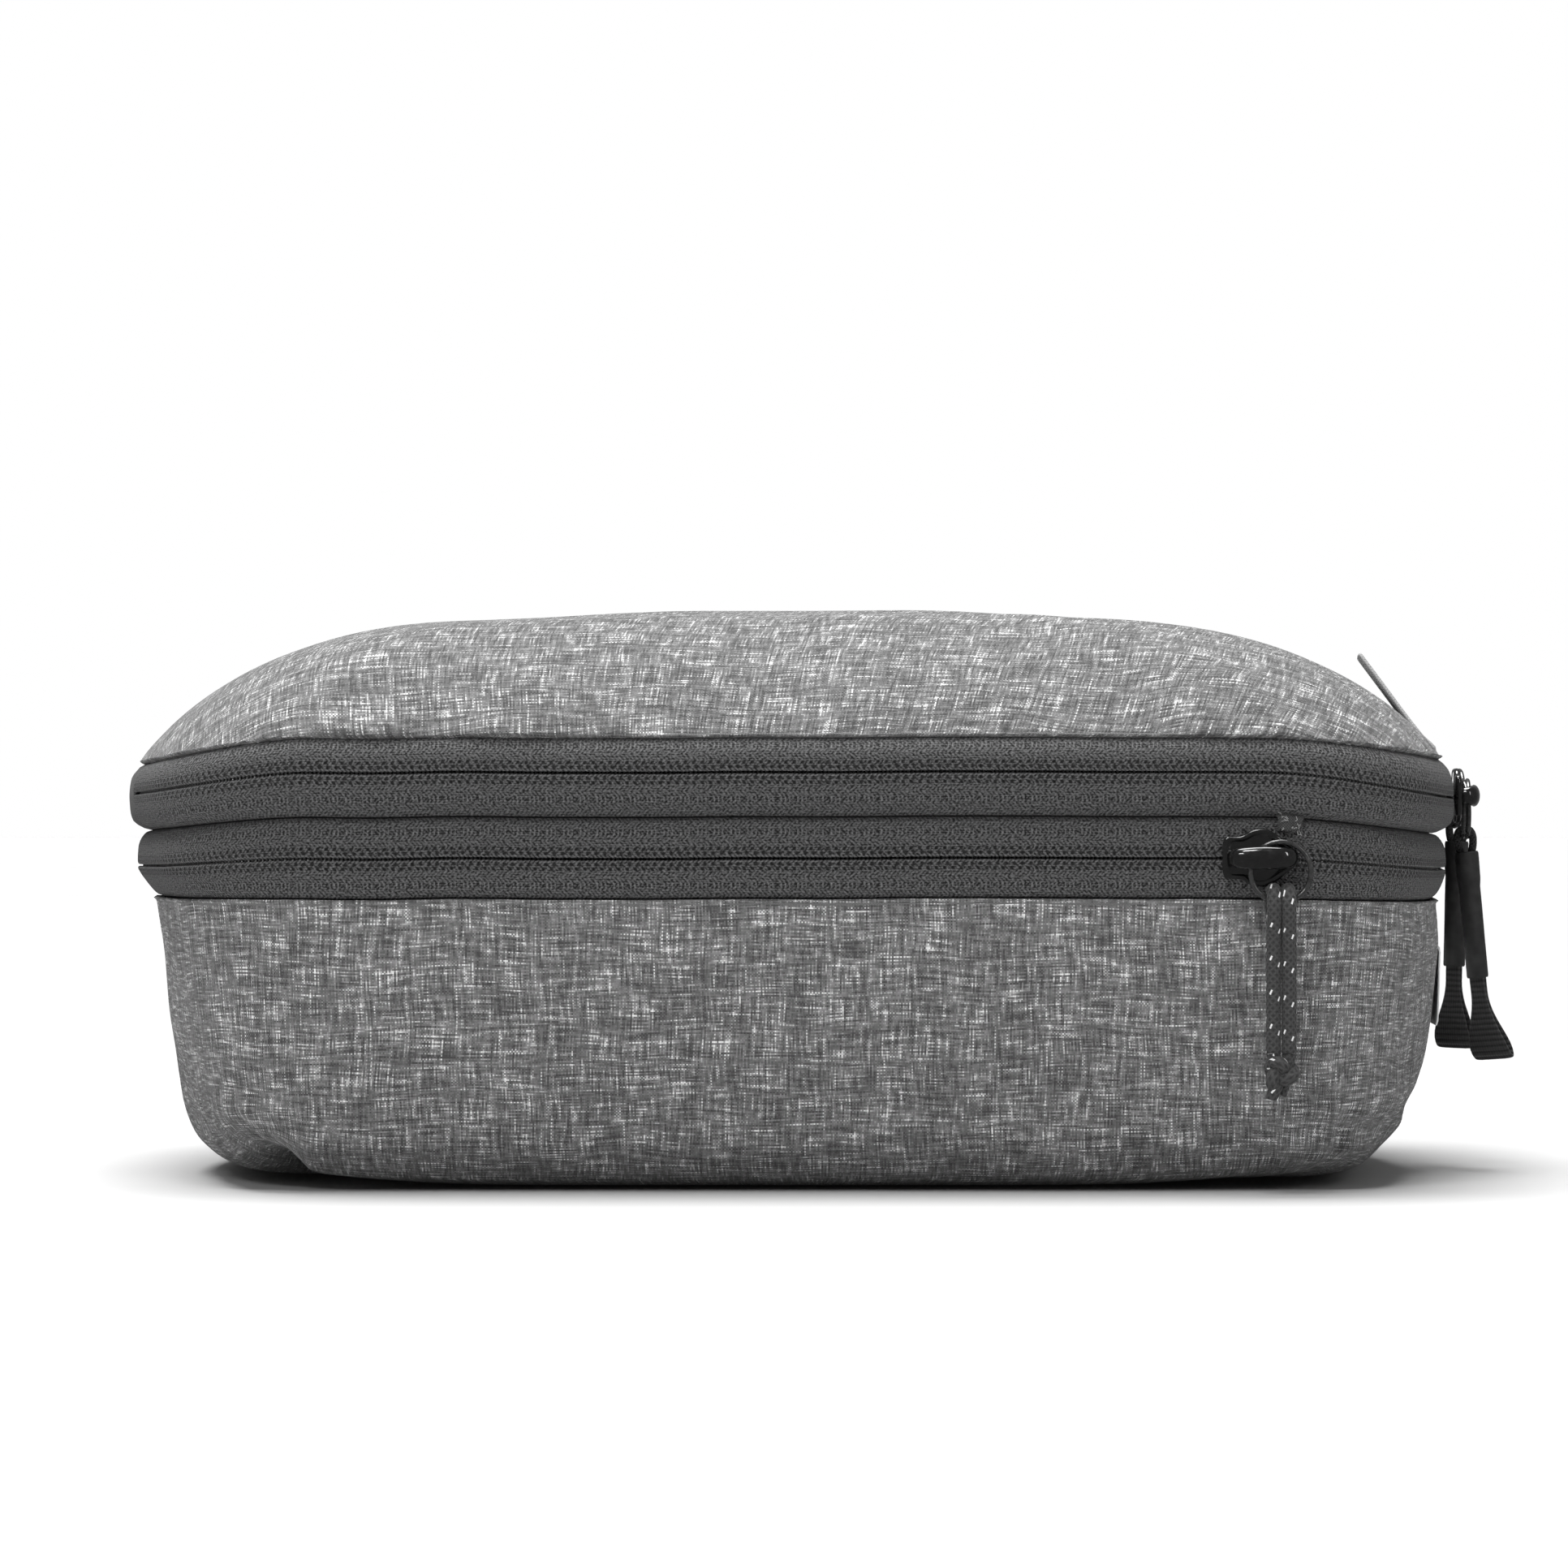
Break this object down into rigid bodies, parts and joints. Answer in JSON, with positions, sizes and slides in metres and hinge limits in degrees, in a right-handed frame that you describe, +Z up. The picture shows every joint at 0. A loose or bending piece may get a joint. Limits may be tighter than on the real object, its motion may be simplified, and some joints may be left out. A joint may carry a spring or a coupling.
{
  "type": "compression packing cube",
  "caption": "Soft rectangular luggage packing cube in grey fabric with a domed lid, a main zip, a lower compression zip over a folded gusset, and cord and webbing zip pulls.",
  "frame": {"origin": "centre of the flat bottom, on the surface that the cube stands on", "axes": "+X along the cube's length towards the end with the main zip pulls, +Y from the front to the back, +Z up towards the lid"},
  "size_m": [0.2629, 0.1834, 0.107],
  "materials": {
    "heather_fabric": "grey melange plain weave",
    "hinge_fabric": "grey melange plain weave",
    "gusset_fabric": "thin plain lining cloth",
    "label_fabric": "plain white woven tape, blank",
    "tab_fabric": "folded grey ribbon",
    "seam_binding": "dark grey binding tape",
    "zip_coil": "woven-in nylon coil",
    "zip_tape": "dark grey twill zip tape",
    "slider_metal": "glossy black plated",
    "pull_cord": "braided cord with light flecks",
    "loop_cord": "thin black cord",
    "shrink_sleeve": "matte heat-shrink tube",
    "pull_webbing": "ribbed black webbing"
  },
  "bodies": {
    "tub": {"tub_shell": "heather_fabric", "tub_seam_binding": "seam_binding", "corner_seam_binding_front_left": "seam_binding", "corner_seam_binding_front_right": "seam_binding", "corner_seam_binding_rear_left": "seam_binding", "corner_seam_binding_rear_right": "seam_binding", "expansion_gusset": "gusset_fabric", "compression_zip_lower_tape": "zip_tape", "compression_zip_lower_coil": "zip_coil", "end_label": "label_fabric"},
    "middle_band": {"compression_zip_upper_tape": "zip_tape", "compression_zip_upper_coil": "zip_coil", "compression_zip_tape_end": "zip_tape", "middle_seam_binding": "seam_binding", "main_zip_lower_tape": "zip_tape", "main_zip_lower_coil": "zip_coil", "hinge_strip_lower": "hinge_fabric"},
    "lid": {"lid_panel": "heather_fabric", "lid_seam_binding": "seam_binding", "main_zip_upper_tape": "zip_tape", "main_zip_upper_coil": "zip_coil", "hinge_strip_upper": "hinge_fabric"},
    "grab_tab": {"lid_grab_tab": "tab_fabric"},
    "compression_slider": {"compression_slider": "slider_metal", "compression_bail": "slider_metal"},
    "compression_ring": {"compression_ring": "slider_metal"},
    "compression_pull": {"compression_pull_cord": "pull_cord", "compression_pull_knot": "pull_cord"},
    "main_front_slider": {"main_front_slider": "slider_metal", "main_front_bail": "slider_metal"},
    "main_front_ring": {"main_front_ring": "slider_metal"},
    "main_front_pull": {"main_front_pull_loop": "loop_cord", "main_front_pull_sleeve": "shrink_sleeve", "main_front_pull_webbing": "pull_webbing"},
    "main_rear_slider": {"main_rear_slider": "slider_metal", "main_rear_bail": "slider_metal"},
    "main_rear_ring": {"main_rear_ring": "slider_metal"},
    "main_rear_pull": {"main_rear_pull_loop": "loop_cord", "main_rear_pull_sleeve": "shrink_sleeve", "main_rear_pull_webbing": "pull_webbing"}
  },
  "joints": [
    {"name": "expansion_lift", "type": "slide", "parent": "tub", "child": "middle_band", "axis": [0, 0, 1], "range_m": [0, 0.045], "deforming": ["expansion_gusset"]},
    {"name": "lid_hinge", "type": "hinge", "parent": "middle_band", "child": "lid", "pos_m": [-0.127, 0, 0.0718], "axis": [0, -1, 0], "range_deg": [0, 165]},
    {"name": "grab_tab_flex", "type": "hinge", "parent": "lid", "child": "grab_tab", "pos_m": [0.125, 0, 0.0796], "axis": [0, 1, 0], "range_deg": [0, 110]},
    {"name": "compression_slider_travel", "type": "slide", "parent": "tub", "child": "compression_slider", "axis": [-1, 0, 0], "range_m": [0, 0.162]},
    {"name": "compression_ring_swing", "type": "hinge", "parent": "compression_slider", "child": "compression_ring", "pos_m": [0.08271, -0.0901, 0.0608], "axis": [-0.463, 0, -0.8864], "range_deg": [0, 100]},
    {"name": "compression_pull_swing", "type": "hinge", "parent": "compression_ring", "child": "compression_pull", "pos_m": [0.0875, -0.0901, 0.0529], "axis": [-1, 0, 0], "range_deg": [0, 100]},
    {"name": "main_front_slider_travel", "type": "hinge", "parent": "middle_band", "child": "main_front_slider", "pos_m": [-0.103, 0, 0.0718], "axis": [0, 0, -1], "range_deg": [0, 6]},
    {"name": "main_front_ring_swing", "type": "hinge", "parent": "main_front_slider", "child": "main_front_ring", "pos_m": [0.12941, -0.01171, 0.0718], "axis": [-0.0211, -0.4625, -0.8864], "range_deg": [0, 100]},
    {"name": "main_front_pull_swing", "type": "hinge", "parent": "main_front_ring", "child": "main_front_pull", "pos_m": [0.12963, -0.00693, 0.0639], "axis": [-0.0457, -0.999, 0], "range_deg": [0, 100]},
    {"name": "main_rear_slider_travel", "type": "hinge", "parent": "middle_band", "child": "main_rear_slider", "pos_m": [-0.103, 0, 0.0718], "axis": [0, 0, 1], "range_deg": [0, 6]},
    {"name": "main_rear_ring_swing", "type": "hinge", "parent": "main_rear_slider", "child": "main_rear_ring", "pos_m": [0.12938, 0.01229, 0.0718], "axis": [0.0051, -0.111, 0.9938], "range_deg": [0, 100]},
    {"name": "main_rear_pull_swing", "type": "hinge", "parent": "main_rear_ring", "child": "main_rear_pull", "pos_m": [0.12963, 0.00693, 0.0658], "axis": [0.0457, -0.999, 0], "range_deg": [0, 100]}
  ]
}
